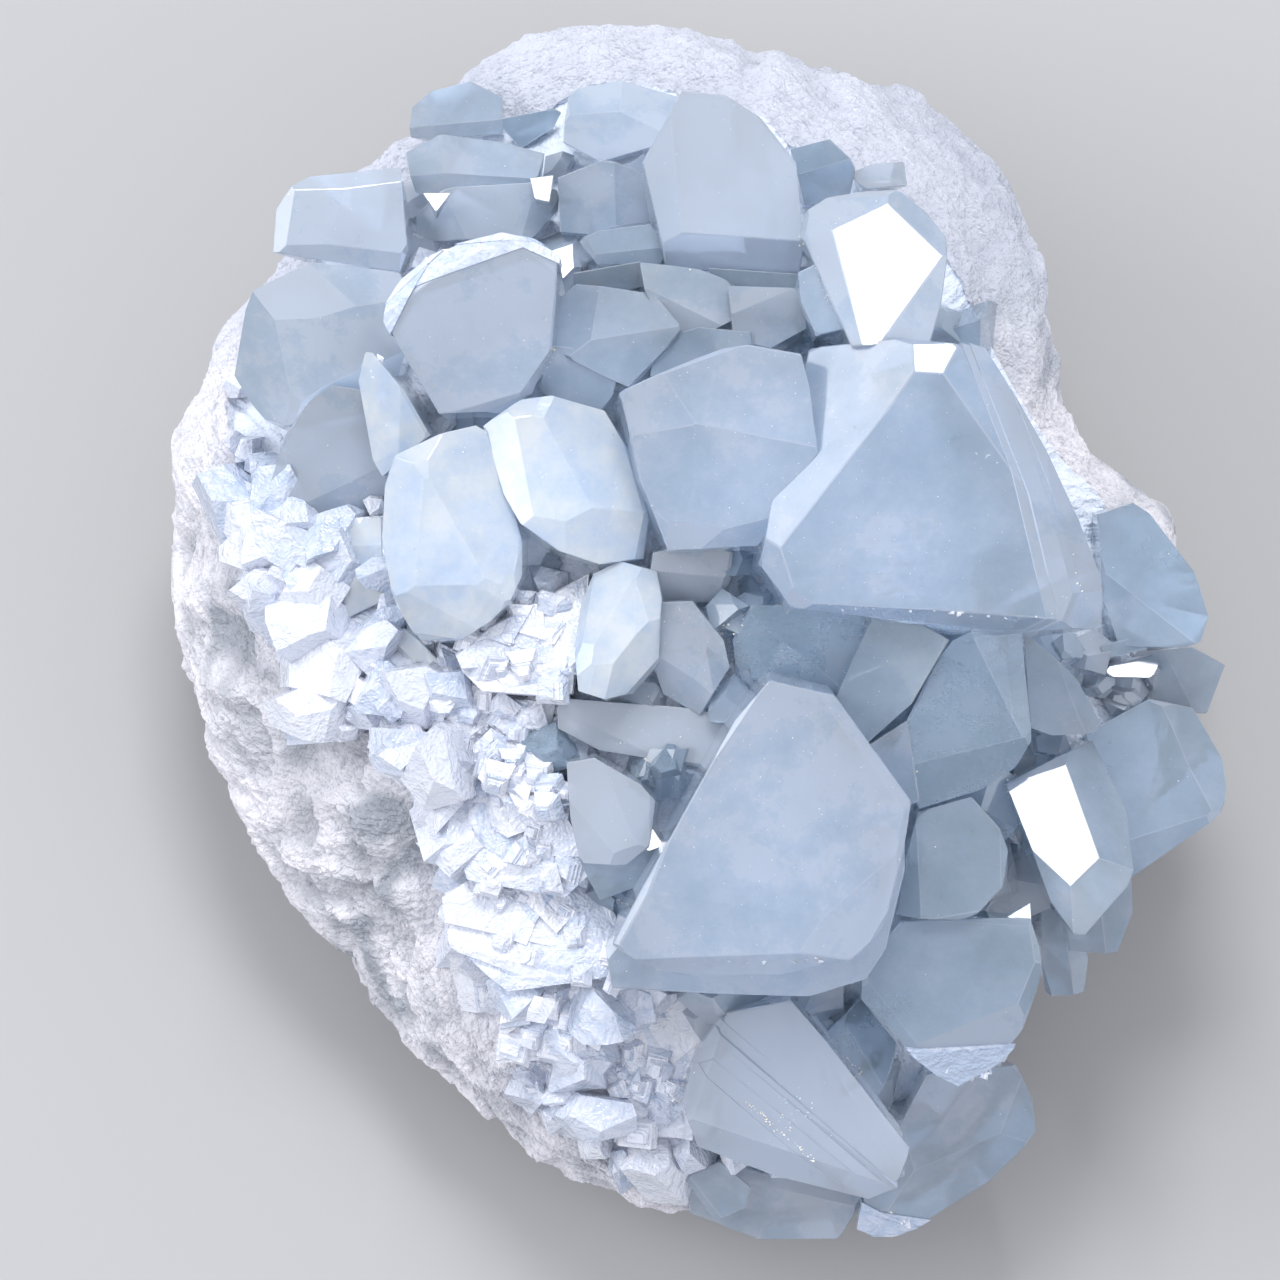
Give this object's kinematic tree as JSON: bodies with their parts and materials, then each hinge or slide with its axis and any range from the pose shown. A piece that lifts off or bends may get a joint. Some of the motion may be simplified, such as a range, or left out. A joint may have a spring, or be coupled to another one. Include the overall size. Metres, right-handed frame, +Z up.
{
  "type": "celestite crystal cluster",
  "caption": "Cluster of pale blue celestite crystals grown together on a lump of white sugary matrix, resting on a small flat spot.",
  "frame": {"origin": "under the middle of the cluster's box, at the height of the flat spot it rests on", "axes": "+Z up out of the resting spot; +Y along the cluster's length, from its foot to its head; +X across it to the right"},
  "size_m": [0.0742, 0.085, 0.0473],
  "materials": {
    "white_matrix": "matte",
    "pale_blue_celestite": "gloss"
  },
  "bodies": {
    "root": {"matrix": "white_matrix", "celestite_crystals": "pale_blue_celestite"}
  },
  "joints": []
}
